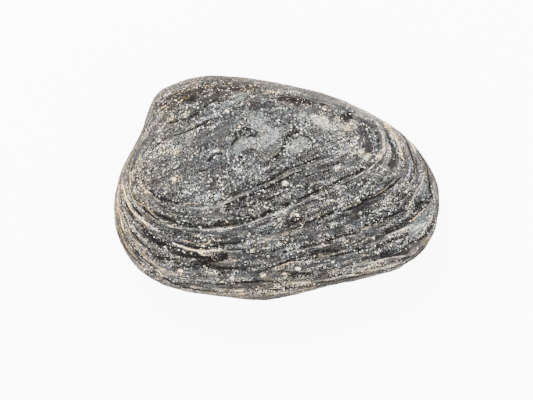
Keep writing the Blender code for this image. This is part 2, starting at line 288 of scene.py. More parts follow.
# Rings crowd near each growth line, where the ledges are sharp, and near the rim.
ring_band = []
ring_share = []
for band_index, rings in enumerate(BAND_RINGS):
    for step in range(rings):
        share_here = step / rings
        if band_index == len(BAND_RINGS) - 1:
            share_here = math.sin(share_here * math.pi / 2)
        else:
            share_here -= RING_CROWDING * math.sin(2 * math.pi * share_here)
        ring_band.append(band_index)
        ring_share.append(share_here)
ring_band.append(len(BAND_RINGS) - 1)
ring_share.append(1.0)
upper_ring = np.minimum(ring, UPPER_RINGS)
band = np.array(ring_band)[upper_ring]
share = np.array(ring_share)[upper_ring]
inner = bounds[band, column]
gap = bounds[band + 1, column] - inner
distance = inner + gap * share
rim_distance = bounds[-1][column]

# Plan and height of the upper valve, then of the lower one.
towards = np.stack([np.cos(direction), np.sin(direction)], axis=1)
places = np.zeros((len(ball), 3))
places[:, :2] = UPPER_CROWN + distance[:, None] * towards
wobble = unevenness(places, LINE_WOBBLE_SIZE, 2, 3.7) * LINE_WOBBLE * MM
inside_rim = np.clip((1.0 - distance / rim_distance) * 6.0, 0.0, 1.0)
distance += wobble * inside_rim * np.minimum(1.0, distance / (6 * MM))
places[:, :2] = UPPER_CROWN + distance[:, None] * towards
places[:, 2] = rim_height + (THICKNESS - rim_height) * dome(distance / rim_distance, direction)
spans = np.diff(bounds, axis=0)
line_spans = np.vstack([spans[:1], np.minimum(spans[:-1], spans[1:]), spans[-1:]])
crests = LEDGE_HEIGHTS[:, None] * ledge_strength(directions, line_spans)
steps_relief = ledge(share * gap, (1.0 - share) * gap, crests[band, column], crests[band + 1, column])

lower_share_out = np.sin((ALL_RINGS - ring) / LOWER_RINGS * math.pi / 2)[~upper]
lower_offset = rim_point[~upper] - LOWER_CROWN
lower_direction = np.arctan2(lower_offset[:, 1], lower_offset[:, 0])
lower_depth = (rim_height[~upper] + WORN_OFF_BELOW) * dome(lower_share_out, lower_direction)
places[~upper, :2] = LOWER_CROWN + lower_offset * lower_share_out[:, None]
places[~upper, 2] = rim_height[~upper] - lower_depth
lower_band = np.searchsorted(LOWER_LINES, lower_share_out, side="right") - 1
lower_band = np.clip(lower_band, 0, LOWER_BANDS - 1)
lower_width = LOWER_LINES[lower_band + 1] - LOWER_LINES[lower_band]
lower_share = (lower_share_out - LOWER_LINES[lower_band]) / lower_width
lower_gap = np.hypot(lower_offset[:, 0], lower_offset[:, 1]) * lower_width
lower_strength = ledge_strength(lower_direction, lower_gap)
steps_relief[~upper] = lower_strength * ledge(
    lower_share * lower_gap, (1.0 - lower_share) * lower_gap,
    LOWER_LEDGES[lower_band], LOWER_LEDGES[lower_band + 1])
share[~upper] = 1.0 - lower_share
gap[~upper] = lower_gap
growth = band + share
growth[~upper] = len(BAND_RINGS) + (LOWER_BANDS - lower_band) - lower_share

stone_mesh.vertices.foreach_set("co", places.ravel())
stone_mesh.update()
normals = np.empty(3 * len(places))
stone_mesh.vertex_normals.foreach_get("vector", normals)
normals = normals.reshape(-1, 3)

# Relief: ledges, fine growth ridges, the seam, pits and lumps, and the stone's own roughness.
ridge_wave = np.sin(2 * math.pi * (RIDGES_IN_BAND * share + unevenness(places, 9.0, 1, 1.3)))
ridge_depth = (0.5 + 0.5 * unevenness(places, 6.0, 1, 8.1)) * np.minimum(1.0, gap / (5 * MM))
fine_ridges = RIDGE_HEIGHT * ridge_wave * ridge_depth
seam_direction = np.arctan2(rim_point[:, 1], rim_point[:, 0])
seam_depth = SEAM_ELSEWHERE + (SEAM_AT_BEAK - SEAM_ELSEWHERE) * towards_beak(seam_direction) ** 6
seam = -seam_depth * np.exp(-((places[:, 2] - rim_height) / SEAM_HALF_WIDTH) ** 2)
lumps = np.zeros(len(places))
for x, y, radius, height in PITS_AND_LUMPS:
    away = away_from(x, y) / (radius * MM)
    lumps += np.where(upper, height * MM * np.exp(-away ** 2), 0.0)
broad_lumps = sum(unevenness(places, size) * height * MM for size, height in BROAD_LUMPS)
roughness = ROUGHNESS_HEIGHT * unevenness(places, ROUGHNESS_SIZE, 3, 5.0)

# Small worn pits scattered over the whole stone.
picker = random.Random(11)
small_pits = np.zeros(len(places))
for _ in range(SMALL_PITS):
    centre = places[picker.randrange(len(places))]
    pit_radius = picker.uniform(*SMALL_PIT_RADII) * MM
    pit_depth = picker.uniform(*SMALL_PIT_DEPTHS) * MM
    away = np.linalg.norm(places - centre, axis=1) / pit_radius
    small_pits = np.minimum(small_pits, -pit_depth * np.exp(-away ** 2))

small_relief = steps_relief + fine_ridges + roughness + small_pits
places += normals * (small_relief + seam + lumps + broad_lumps)[:, None]
places[:, 2] = np.maximum(places[:, 2], 0.0)

# The stone fills the solid's own box, and lies on its worn flat.
low, high = (np.array(corner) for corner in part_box("fossil_bivalve"))
own_low = places.min(axis=0)
own_high = places.max(axis=0)
places = low + (places - own_low) * (high - low) / (own_high - own_low)
stone_mesh.vertices.foreach_set("co", places.ravel())
stone_mesh.shade_smooth()
stone_mesh.update()

# What the stone's colours follow, kept on the mesh: place along and across the layers of the
# stone, and painted tones.  The layers follow the growth lines, and run straight on the crown.
turn = 2 * math.pi * column / COLUMNS
flow = np.stack([
    LAYER_RADIUS * np.cos(turn), LAYER_RADIUS * np.sin(turn), LAYERS_IN_BAND * growth], axis=1)
on_crown = upper & (band == 0)
crown_x, crown_y = places[on_crown, 0], places[on_crown, 1]
along_layers = crown_x * math.cos(LAYER_TURN) + crown_y * math.sin(LAYER_TURN)
across_layers = crown_y * math.cos(LAYER_TURN) - crown_x * math.sin(LAYER_TURN)
flow[on_crown] = np.stack([
    along_layers / MM, 0.0 * along_layers, -LAYER_DENSITY * across_layers / MM], axis=1)
flow_attribute = stone_mesh.attributes.new("flow", "FLOAT_VECTOR", "POINT")
flow_attribute.data.foreach_set("vector", flow.ravel())


def keep(name, values):
    """Store one number for each point of the stone's mesh."""
    attribute = stone_mesh.attributes.new(name, "FLOAT", "POINT")
    attribute.data.foreach_set("value", np.asarray(values, dtype=float))


keep("growth", growth)
keep("relief", small_relief / MM)

# Streaks of the upper valve: half width, change of tone, warmth, and points, x and y in turn,
# in millimetres.  The dark ones are cracks, and dark bands along the growth lines that are partly
# dark stone and partly painted shade; the pale ones are worn crests, partly painted highlight, and
# veins.
STREAKS = (
    # Beak and hinge side.
    (0.8, -0.05, 0.1, (-24.6, 21.4, -21.5, 22.6, -18.6, 23.9, -15.5, 24.8)),
    (0.6, -0.06, 0.1, (-13.6, 24.2, -10.6, 24.6, -7.8, 24.5, -5.6, 23.8)),
    (0.6, -0.15, 0.2, (1, 21.2, 4.5, 21.3, 8.2, 20.6)),
    (1, -0.21, 0, (16.9, 17.3, 17.4, 17.4)),
    (0.21, -0.24, 0.2, (-25.5, 15.5, -22, 16.5, -19.5, 17.5, -17, 19.5, -14, 21.5)),
    (0.21, -0.29, 0.2, (-24.5, 12.5, -22, 13.2, -19, 14.5, -16, 16.2)),
    (0.4, 0.13, -0.4, (-20, 15, -17, 16.5, -14, 18.2, -10, 20.8)),
    (0.21, -0.26, 0.5, (-20.5, 21.5, -18, 23, -15.5, 24.7)),
    (0.27, -0.22, 0.5, (-24, 21.2, -22, 20.9, -20, 21)),
    (0.27, -0.22, 0.5, (-14.5, 23.2, -11.5, 23.9, -8, 23.4)),
    (0.08, 0.22, 1, (-30, 15.8, -26.5, 15, -24, 15.3)),
    (0.21, -0.33, 0, (7.6, 20.7, 10, 20.4, 12.2, 20, 12.8, 19.4)),
    (0.08, 0.22, 0.3, (-1, 18.5, 1, 19.5)),
    (0.19, -0.4, 0, (-16.6, 6.3, -15.3, 7.3, -14.5, 7.9, -13.2, 8.1)),
    (0.16, 0.14, 1, (-15.4, 8.7, -14.2, 9.2, -13, 9.2)),
    (0.15, -0.24, 0, (-18.3, 3.8, -17, 4.2)),
    (0.09, 0.18, 0.3, (-21, 2.5, -17, 3, -15.5, 4.8)),
    (0.26, -0.36, 0, (-9.2, 12.7, -6.5, 12.4, -4.8, 12.2)),
    (0.17, -0.35, 0, (-9.2, 12.6, -10.3, 10.9, -10.8, 9.8)),
    (0.5, -0.26, 0, (-8.8, 13.3, -7.4, 14, -6, 13.6, -5, 13)),
    (0.55, -0.25, 0, (5, 13.4, 3, 12.4, 2, 11, 1.5, 9.4)),
    (0.28, -0.2, 0, (1.5, 9.4, 0.6, 8, -0.8, 7)),
    (0.8, -0.16, 0, (4.6, 14.6, 3.6, 13.2)),
    (0.15, -0.29, 0, (5.5, 12.3, 7, 12.3, 8.5, 11.2, 8.7, 9.6)),
    (0.15, -0.26, 0.3, (-3.7, 5.7, -1.5, 6.3, 0.4, 6.8)),
    # The pair of lines under the crown.
    (0.19, -0.31, 0, (-4.5, 0.5, -1, 2, 1, 3.5, 3, 4.5, 7, 6, 10.5, 7.2)),
    (0.21, -0.33, 0, (-12, -4.2, -9, -3, -7, -2.2, -4, -0.8, 0, 1.1, 4, 3.2, 7, 4.6)),
    (0.08, 0.24, 0.6, (-3, 0.6, 1, 2.2, 5, 4, 10, 6, 12.5, 7)),
    (0.36, 0.24, 0.5, (-13.5, -4, -11, -3, -8.5, -1.8, -7, -1.2)),
    (0.08, 0.22, 0.5, (-7, -1.2, -5, -0.2, -3, 0.8)),
    (0.15, -0.26, 0, (7.3, 2.7, 9, 3.2, 11, 3.7, 12.8, 4.2)),
    (0.21, -0.2, 0, (-14, -5.4, -10, -5.2, -6.5, -4.2, -3, -3.2, 1, -1.6)),
    (0.08, 0.33, 3, (-21.5, -3.9, -19.3, -3.9)),
    (0.08, 0.24, 0.6, (-27, -2.8, -24.5, -3.9, -22, -4.6)),
    (0.17, 0.2, 0.4, (-22, -4.6, -19, -5, -16, -4.9, -13, -4.2)),
    (0.19, -0.22, 0.2, (-29.5, -1.9, -27, -3.4, -24.5, -4.6)),
    # The second growth line: a thin pale crest with a dark band along its inner side, which is partly
    # painted shade.
    (0.55, -0.17, 0.2, (-30, -5.4, -27, -7.2, -24, -8.5, -20, -9.1, -16, -9.2, -12, -8.5)),
    (0.5, -0.16, 0, (-12, -8.5, -9, -8.2, -6, -7.5, -3, -6.4, 0, -5, 2.5, -4)),
    (0.22, -0.37, 0, (5.8, -2.6, 8, -1.6, 10, -0.7)),
    (0.27, -0.26, 0, (12.8, 0.6, 16, 2.2, 18.5, 3.3, 21, 4.7)),
    (0.15, -0.24, 0, (5.5, -4.4, 9, -3, 13, -1.5)),
    (0.08, 0.24, 0.6, (-30, -6.4, -27.5, -8.1, -24, -9.7, -20, -10.2, -16, -10.2)),
    (0.08, 0.31, 0.5, (-16, -10.2, -13, -9.9, -10, -9.6, -7.5, -9, -5.5, -8.3, -3, -7.3)),
    (0.09, 0.31, 0.5, (-3, -7.3, 0, -6.2, 2.5, -5.2, 5, -4, 7, -2.9, 9.5, -2)),
    (0.09, 0.31, 0.5, (9.5, -2, 12, -1, 15, 0.5, 17, 1.6, 19, 2.6, 21, 3.7, 23, 5)),
    (0.28, 0.17, 0.8, (23, 5, 24.5, 6.5, 25.5, 8, 26, 10, 26, 12, 25.3, 14.2, 24.6, 15.6)),
    (0.19, -0.22, 0, (24.4, 13.4, 24.7, 11.5, 24.5, 9.6)),
    # Between the second and the third.
    (0.08, 0.24, 0.6, (-31, -9.7, -28.5, -10.3, -26, -12)),
    (0.08, 0.33, 0.8, (25, 5.2, 26.3, 4.3, 27.3, 4)),
    (0.08, 0.31, 0.6, (23.8, 3.2, 25, 2.9, 26, 2.2)),
    (0.5, 0.17, 1.5, (26.8, 15.5, 28, 14, 29.2, 12)),
    (0.38, 0.18, 1.5, (29.2, 12, 30.1, 10, 30.6, 7.2)),
    (0.19, -0.31, 0.9, (-13.5, -13.4, -10, -13.3, -8, -13)),
    (0.08, 0.22, 1.8, (-6, -13.2, -3, -12.4, 0, -11.5, 2.5, -10.9)),
    # The third growth line: a black crack with a tan edge.
    (0.19, -0.31, 0.6, (2.4, -10.4, 4, -9.9, 5.8, -9.2)),
    (0.3, -0.42, 0.7, (5.8, -8.9, 7.5, -8.2, 9.5, -7.6, 11.5, -6.8, 13.6, -6.1)),
    (0.75, -0.14, 0.3, (2.6, -8.6, 4.4, -8.6, 6.2, -8.8)),
    (0.19, -0.4, 0.4, (16.1, -5.7, 18.5, -4.8, 20.6, -3.9)),
    (0.19, -0.4, 0.4, (20.6, -3.2, 23, -2.4, 25.5, -1.3, 27, -0.3, 29, 1.5, 30.2, 2.5)),
    (0.09, 0.29, 2, (16.6, -4.8, 19, -3.7, 21.5, -2.8, 24, -1.6, 26, -0.5, 28.5, 2)),
    (0.08, 0.22, 0.6, (-8, -14, -4, -13, 0, -12.2, 4, -10.8, 6, -10)),
    (0.19, -0.31, 0.4, (-24.5, -13, -22, -13.9, -19, -14.4, -16, -14.3, -13, -14)),
    (0.09, 0.26, 1.7, (-23, -12.5, -21, -13.1, -19, -13.5, -16, -13.5)),
    # The strong ledge low on the left: a cream crest over a black groove, darkened partly by painted
    # shade.
    (0.2, 0.44, 1.3, (-23.5, -14, -22, -14.5, -20, -15, -18, -15.2, -15, -15.2, -13, -15)),
    (0.18, 0.29, 1.3, (-13, -15.2, -10.5, -15.5, -8.5, -15.2)),
    (0.2, 0.33, 1.3, (-18.5, -15.6, -17.2, -16.4, -16, -16)),
    (0.9, -0.25, 0.2, (-25.5, -14.8, -22, -15.8, -19.5, -16.4, -18, -17.2, -15, -17.1, -12.6, -16.7)),
    (0.75, -0.19, 0, (-31.5, -11.2, -29, -12.7, -27, -13.7, -25.5, -14.6)),
    (0.4, -0.19, 0.2, (-31, -16, -28, -17, -25, -17.3)),
    (0.3, -0.13, 0.5, (-20, -18.5, -16, -19, -12, -19.5, -7, -19.8)),
    (0.3, 0.16, 0.6, (-14, -17.9, -12.5, -17.8, -10.9, -17.9)),
    # The fourth growth line and the bands beside it.
    (0.19, -0.31, 0.5, (1.5, -15.6, 5, -14.8, 8, -13.9, 11, -13.1, 14, -12.5)),
    (0.21, -0.29, 0.2, (14, -12.1, 17, -11.4, 20, -10.7)),
    (0.24, -0.31, 0.5, (21, -9.5, 25, -8, 28, -6.8, 30.8, -5.6)),
    (0.08, 0.26, 1.7, (20.5, -10.2, 24, -8.7, 27, -7.5, 29.5, -6.5, 31.5, -5.2, 33, -3, 34, -0.7)),
    (0.17, 0.26, 1.5, (32.4, -3.9, 33.3, -2, 34.3, -0.3, 35.3, 1, 36, 3.5)),
    (0.08, 0.22, 0.6, (4, -15.3, 8, -14.6, 12, -13.9, 15, -13.5)),
    (0.21, -0.31, 0.6, (-2, -19.4, 0, -18.8, 3, -17.6, 6, -16.7, 8.5, -16)),
    (0.45, -0.2, 0.3, (8, -15.9, 12, -15.2, 15, -15.2)),
    (0.08, 0.26, 1.8, (-1, -19.6, 2, -18.5, 4, -18, 7, -18, 9.5, -17.3, 12, -16.4, 14.5, -15.9)),
    # Behind: dark and pale lines crowd towards the hind end.
    (0.8, -0.05, 0, (26.9, 13.2, 27.9, 10.4, 28.5, 7.6, 28.2, 5.6)),
    (0.19, -0.33, 0, (30, 14.3, 31.5, 12, 32.3, 9.5, 33, 7.5, 33.3, 5.5, 33.4, 3.6)),
    (0.2, 0.24, 1.7, (30.9, 13.8, 32.4, 12, 33.4, 10, 34, 8.6)),
    (0.21, -0.31, 0, (34.6, 9, 36.3, 6.2, 37, 4, 37, 2)),
    (0.32, 0.18, 1.5, (35.8, 7.8, 37.6, 5.4)),
    (0.27, -0.33, 0, (37.3, 1.2, 37.6, -0.5, 37.5, -2.4)),
    (0.4, 0.15, 0.6, (38.5, 1.6, 39.2, -2.5)),
    (0.15, -0.26, 0, (39.2, 2, 40, -1, 39.8, -4)),
    (0.4, -0.24, 0, (33.6, -4.3, 35, -3.7, 36.8, -3.6)),
    (0.65, -0.18, 0.1, (27, -10.6, 29, -9.6, 31.5, -8.4, 33.5, -6.5, 35.3, -4.6)),
    (0.08, 0.33, 2.8, (33, -8.1, 34.5, -6.6, 36, -5.1)),
    (0.36, -0.24, 0, (31.5, -13.5, 34, -13, 36.8, -11, 38.3, -8.4)),
    # The fifth growth line.
    (0.18, 0.23, 0.7, (26.3, -11.7, 28.5, -11, 30.5, -10.1, 32.2, -9.5)),
    (0.08, 0.22, 0.6, (15, -15.6, 18, -14.7, 21, -14, 24, -13.2, 26.8, -12.3)),
    (0.4, -0.26, 0, (24.5, -14, 27, -13, 30, -12, 31.7, -11.2)),
    (0.19, -0.24, 0, (24.2, -14.1, 20, -15.2, 16, -16, 13, -16.7)),
    (0.95, -0.16, 0, (31.5, -15.2, 29, -15.7, 26, -16.2)),
    (0.36, -0.28, 0.1, (2.2, -21.5, 5, -20.7, 8, -20.8)),
    # The sixth growth line: a jagged pale crest over a smooth pale band.
    (0.19, 0.28, 0.6, (18.5, -19.1, 20.6, -18.5, 23, -18.2, 26.3, -17.4, 28.8, -16.8, 31, -16.7)),
    (0.21, -0.33, 0.2, (22.5, -19.6, 24.5, -19.1, 27, -18.5, 30, -17.6, 32.5, -16.8)),
    (0.6, 0.03, 0.4, (29, -17.4, 26, -18.2, 22, -19.2, 18, -20.2)),
    (0.19, 0.22, 0.7, (20.5, -20.4, 24, -20, 27, -19.2, 31, -18.2)),
    (0.15, -0.29, 0.2, (13, -21.8, 17, -20.9, 20, -20.7, 22.6, -19.9)),
    (0.15, -0.26, 0.2, (10, -23.3, 13, -22.8, 18, -22, 23, -21)),
    (0.15, 0.2, 0.7, (10, -22.7, 13, -22.2, 17, -21.4, 20.5, -21.1)),
    (0.08, 0.2, 0.6, (18, -19.6, 14, -20.4, 10.5, -20.8, 7, -22, 3, -22.3)),
    (0.09, 0.23, 0.8, (-21, -24, -17, -24.5, -13, -24.6, -9, -25, -8, -24.8)),
    (0.21, -0.26, 0.5, (-27.5, -21.8, -24.5, -23.4, -22, -24.2, -18, -25, -11, -25.5)),
    (0.24, -0.22, 0.4, (-14, -23.4, -10, -23, -5, -22.7, -1, -22.6)),
    (0.17, -0.29, 0.9, (-5, -24.9, -2, -24.7, 0.5, -24.8, 3.5, -24.3, 4.9, -24.2)),
    (0.08, 0.2, 0.7, (-4, -25.6, 0, -25.6, 5, -25, 10, -24.2)),
    (0.35, 0.15, 0.5, (1, -22.9, 4.5, -23, 8, -22.6)),
    # Left wall: thin tan lines crowded together, with dark grooves between them.
    (0.09, 0.35, 3.4, (-37.3, 0.5, -36.5, -2, -35.3, -5, -34, -6.8, -32.5, -8, -31.2, -9)),
    (0.08, 0.33, 3.4, (-35.8, 0.5, -34.3, -3, -33, -3.8, -31, -5, -29.8, -6.5)),
    (0.08, 0.29, 3, (-33, 0.7, -31.5, -0.6, -30, -1.6)),
    (0.09, 0.29, 3, (-38.3, 1, -38.5, -3, -37.9, -7, -36.8, -12)),
    (0.08, 0.22, 2.3, (-39.3, -3, -39.2, -8, -37.6, -12.4, -34.2, -17)),
    (0.09, 0.22, 2, (-39, 0, -37.6, 4, -35.8, 7.4, -33.8, 10.4)),
    (0.08, 0.24, 2, (-36, -10, -34, -14, -31, -18, -28, -21, -25, -23.3, -20, -24.5)),
    (0.08, 0.24, 1.5, (-34.2, -12.8, -32, -16, -28.8, -19, -25, -21)),
    (0.08, 0.22, 1.5, (-33.8, -10.4, -31, -13.5, -28, -15.4)),
    (0.22, -0.29, 0.1, (-36.4, -3.8, -35, -6.6, -33.2, -8.6, -31.4, -10.2)),
    (0.19, -0.24, 0, (-37.8, -0.6, -37.2, -5.6, -35.8, -9.2)),
    (0.24, -0.33, 0, (-35, -3.8, -33.6, -5.9, -32, -7.3)),
    (0.24, -0.31, 0, (-32, -5, -30, -6.8, -28.4, -7.7)),
    (0.26, -0.29, 0, (-30.2, -0.9, -28, -2.3, -25.8, -3.1, -23.6, -3.8)),
    (0.22, -0.24, 0.4, (-37.8, -9.6, -35.8, -13.2, -32.8, -16.6, -29.4, -19.6)),
    (0.22, -0.22, 0.3, (-35, -10.6, -32.4, -13.6, -29, -16.4, -25, -17.6)),
    (0.22, -0.2, 0.4, (-38.9, -10, -36.6, -14.8, -33, -18.8, -29, -21.4)),
)

# Patches: x, y, half length, half width, turn in degrees, tone, warmth, and how speckled.
PATCHES = (
    # Smooth pale blue-grey stone.
    (-4.4, 15.7, 2.9, 2.1, -15, 0.21, -0.2, 0.5), (-1.6, 12, 3.4, 1.6, 32, 0.22, -0.4, 0.6),
    (-7.6, 10.3, 3.6, 1.5, 28, 0.2, -0.4, 0.6), (-3.6, 10.6, 2.4, 1.2, 30, 0.2, -0.4, 0.6),
    (5.2, 10.3, 3.3, 1.3, 35, 0.22, -0.4, 0.55), (-8.6, 22, 1.5, 1, 10, 0.2, -0.9, 0.5),
    (-3.4, 22.3, 1, 0.8, 0, 0.18, -0.9, 0.5), (35.2, -8.6, 4.4, 1.7, 52, 0.2, -0.7, 0.5),
    (33.2, -11.3, 1.5, 1.1, 30, 0.14, -0.7, 0.55), (35.6, -0.6, 1.6, 1, 70, 0.09, -0.8, 0.55),
    (32.4, 6, 2.6, 0.7, -82, 0.1, -0.6, 0.55), (10.5, 21.4, 3.6, 1.1, -15, 0.1, -0.2, 0.55),
    (16, 18.6, 3, 1, -20, 0.04, -0.5, 0.7),
    # Smooth darker purple-grey stone.
    (-16.5, 11.9, 4.4, 2.2, 28, 0.005, 0, 0.42), (-13, 13.6, 3, 1.6, 35, -0.01, 0, 0.42),
    (-20, 18, 1.6, 1, 25, -0.05, -0.1, 0.45), (-5, 19.6, 1.6, 1.1, 0, -0.13, 0.3, 0.5),
    (-1.8, 20, 1.6, 1.3, 10, -0.13, 0, 0.5), (-14.8, 5.2, 3.2, 2.2, 20, -0.02, 0.1, 0.6),
    (-6.6, 8.6, 2, 0.9, -5, -0.08, 0.1, 0.5), (22, -3.9, 4.2, 0.9, 26, -0.1, 0, 0.5),
    (-9.5, -10.9, 4, 0.7, 12, 0, 0, 0.5), (17, -17.6, 3.2, 1.3, 10, 0, -0.2, 0.6),
    (28.4, -4, 3.2, 1.7, 38, -0.07, 0, 0.9),
    # Dark brown dirt under the hinge.
    (-24.5, 22, 4.6, 1.5, 22, -0.12, 0.6, 1.5), (-19, 23.4, 2, 0.9, 25, -0.17, 0.6, 1.3),
    (-15, 24.6, 5.4, 1.5, 12, -0.15, 0.6, 1.3), (-8.4, 24.3, 3.2, 1.3, -8, -0.15, 0.6, 1),
    (3.6, 21.2, 4.6, 1.3, -6, -0.24, 0.5, 1.2), (17.2, 17.5, 1.6, 1.5, 0, -0.26, 0, 0.8),
    (22.2, 10.2, 1.9, 1.3, 30, -0.07, -0.5, 0.5), (21, 14.4, 1.9, 1.6, 40, -0.1, 0, 1),
    (28.4, 9.2, 3.8, 1.1, -78, -0.06, 0, 1.8),
    # Cream and pinkish grains in clusters.
    (11, 15.8, 2.7, 1.3, -40, 0.28, 0.7, 0.9), (17.2, 14.7, 2.2, 1, 8, 0.25, 0.9, 0.9),
    (20.8, 7.9, 2.6, 1, -32, 0.33, 1.1, 0.7), (-1, 23.4, 1.8, 0.9, 0, 0.1, 0.8, 1.1),
    (-24.2, 8.6, 1.1, 1, 0, 0.18, 0.8, 1), (-24, 2, 1.2, 0.9, 0, 0.13, 0.9, 1),
    (-26.6, 18, 3, 1.8, 10, 0.06, 0.7, 1.2), (-8.4, -11, 1.2, 0.7, 30, 0.1, 1.2, 0.6),
    (-11.4, -17.9, 1.7, 0.6, 0, 0.12, 0.6, 1), (37, -13.4, 1.6, 1.2, 50, 0.06, 1.2, 0.8),
    (-28.6, -2.8, 1, 0.6, -20, 0.14, 0.5, 1), (-25.4, 19.4, 0.9, 0.6, 20, 0.18, 0.9, 0.9),
    (-21.5, 18, 0.8, 0.5, 30, 0.2, 1, 0.9), (-22, 21.7, 0.8, 0.5, 0, 0.12, 2.2, 0.8),
    (-28, 12, 1, 0.6, 10, 0.14, 1, 0.9), (-30.4, 5.6, 0.9, 0.6, 0, 0.14, 1, 0.9),
    (-1.8, 7.7, 2.2, 0.6, 12, 0.05, 1.1, 0.9), (6, 17.5, 1.6, 0.8, 20, 0.2, 0.2, 1),
    (-9, 4, 1.4, 0.8, 20, 0.16, 0, 1.1), (2, 3.5, 0.8, 0.5, 20, 0.16, 1.2, 0.9),
    (14.8, 16.5, 0.8, 0.6, 0, 0.18, 1, 0.9), (15.8, 13, 1, 0.6, 20, 0.18, 1, 0.9),
    (24.5, 7.3, 0.9, 0.6, 40, 0.18, 1, 0.9),
    # Bluish white speckle.
    (-14.5, 18, 2.4, 1.2, 35, 0.05, -0.6, 1.15), (-11.8, 20.4, 1.4, 0.6, 25, 0.1, -0.9, 1),
    (-15.6, -2.2, 3, 1.2, 15, 0.08, -0.9, 1.2), (-29.5, 10.6, 5, 3.6, 0, 0.03, 0.2, 1.35),
    (17.6, 10.2, 2.6, 2.4, 0, 0.07, 0, 1.3), (19, -8.8, 2.6, 1, 20, 0.09, -0.9, 1.2),
    (3.6, -14.2, 1.9, 0.8, 15, 0.1, -0.6, 1.2), (-3, -9.8, 2.6, 0.7, 20, 0.06, -0.8, 1.1),
    (-10.4, -21.9, 4, 1.2, 2, 0.06, -0.2, 1.2), (13, -11.2, 1.2, 0.8, 20, 0.13, 0, 1.1),
)

# Broad soft changes of tone and warmth: x, y, half length, half width, turn, tone, warmth.  They are
# partly the stone's own colour and partly painted light and shade: most of the lightening along the
# rim on the hinge side is painted light, and so is part of the pale band at the left end.
WASHES = (
    (-40, -0.5, 13.5, 9, 95, 0.14, 1.6), (-21, 22, 10, 4.5, 15, -0.14, 0.6),
    (-26, 14, 6, 6, 0, 0, 0.35), (-22.5, 12.5, 4, 4.5, 0, 0.07, 0),
    (-26, -3, 4, 8, 10, -0.02, 0.25), (-5, -1.6, 10, 2.4, 14, -0.17, 0),
    (-17, -4.5, 6, 2, 0, 0.05, -0.4), (28, 6, 7, 9, 0, 0.08, 0.25), (14, 14, 8, 5, -20, 0.04, 0.2),
    (-14, -7, 5, 2.5, 0, 0.04, 0.1), (2, -25, 26, 4, 2, 0.045, 1),
    (-31, -18, 9, 4.5, -42, 0.1, 0.8), (-14, -26.6, 12, 2.2, -4, 0.1, 0.5),
    (-32, 19, 5, 1.8, 62, 0.09, 0.2), (-2, 26.5, 16, 2.5, -8, 0.16, 0.8),
    (20, 20.6, 14, 2.4, -30, 0.36, 0.1), (34, 9.5, 8, 2, -52, 0.14, 0.2),
    (-24, 24.5, 9, 2, 28, 0.12, 0.4), (26, -19.5, 9, 2.5, 15, 0.09, 0.3),
    (-14, -16.8, 7.5, 2.6, 0, -0.05, 0.45), (36.5, -11.5, 4, 5, 60, 0.1, 0),
    (38.5, -2, 3, 6, 0, 0.06, 0), (-8, 22.8, 8, 2.6, 0, -0.12, 1.1),
    (19, 16, 8, 3.2, -25, -0.07, 0.2), (15.5, 4.8, 6.5, 3.8, 25, 0.07, 0.2),
    (27.2, -3.6, 5.5, 3.4, 35, -0.08, 0), (-20, -13.2, 5, 1.6, -8, -0.07, 0),
    (-25, -17, 7, 2, -20, -0.05, 0), (-19, -23.6, 8, 2.2, -8, 0.05, 0),
    (11, -15.6, 8, 3, 15, -0.05, 0), (1, -8.8, 3, 1.8, 20, 0.05, -0.2), (-32, 8, 3, 9, 0, -0.04, 0),
    (-15, 8.5, 6, 4, 25, -0.03, 0), (-31.5, -5.5, 3, 3, 0, 0.05, 0),
)

# Single large grains, cream or white: x, y, radius in millimetres.
LARGE_GRAINS = (
    (-3.3, -21.1, 0.7), (2, -21, 0.5), (5.2, -19.6, 0.6), (13.6, -18, 0.5), (24.2, -15.7, 0.55),
    (-23.2, -20.1, 0.65), (-24.6, -13.6, 0.5), (-6.9, -3.8, 0.35), (2, 1, 0.7), (0.7, -7.8, 0.5),
    (5, -6.6, 0.4), (-5.8, -15.3, 0.5), (-2, -16.6, 0.4), (20.1, -6.2, 0.55), (23.4, -12.2, 0.4),
    (17, -13.8, 0.35), (37.3, -7, 0.3), (-14.6, 8.8, 0.5), (-8.8, 14.5, 0.4), (-11.8, 18.2, 0.5),
    (18, 10.2, 0.35), (21, 9.3, 0.3), (11.6, 19, 0.5), (-24.6, 2, 0.6), (-10.8, -21.8, 0.5),
    (6.4, -23, 0.4), (-0.4, -23.9, 0.4), (-18.2, -15.9, 0.4),
)

# Marks sway a little, and streaks swell and thin.  How close a place is to a mark: 1 at the
# mark's edge, and 0 from MARK_REACH millimetres outside it.
MARK_SWAY = 0.16
MARK_REACH = 1.2
CLOSEST = 1.6
LARGE_GRAIN_TONE = 0.36
LARGE_GRAIN_WARMTH = 1.0
sway = np.stack([unevenness(places, 2.2, 2, shift) for shift in (21.0, 34.0)], axis=1)
swayed = places.copy()
swayed[:, :2] += sway * MARK_SWAY * MM
broken = np.clip(0.95 + 0.5 * unevenness(places, 2.4, 2, 55.0), 0.55, 1.2)
on_top = np.clip((places[:, 2] - rim_height) / (2.0 * MM) + 1.0, 0.0, 1.0) * upper


class Layer:
    """Marks painted over one another: each place keeps the nearest one's closeness and values."""

    def __init__(self, *names):
        self.names = names
        self.values = np.zeros((len(names), len(places)))

    def paint(self, near, closeness, *values):
        nearer = closeness > self.values[0, near]
        for row, value in zip(self.values, (closeness, *values)):
            row[near[nearer]] = np.broadcast_to(value, len(near))[nearer]

    def keep(self):
        for name, values in zip(self.names, self.values):
            keep(name, values)


def closeness_at(near, side, half_width):
    """How close the near places are to a mark, from how far they are from its middle, in mm."""
    return np.clip(1.0 - (side - half_width) / MARK_REACH, 0.0, CLOSEST) * on_top[near]
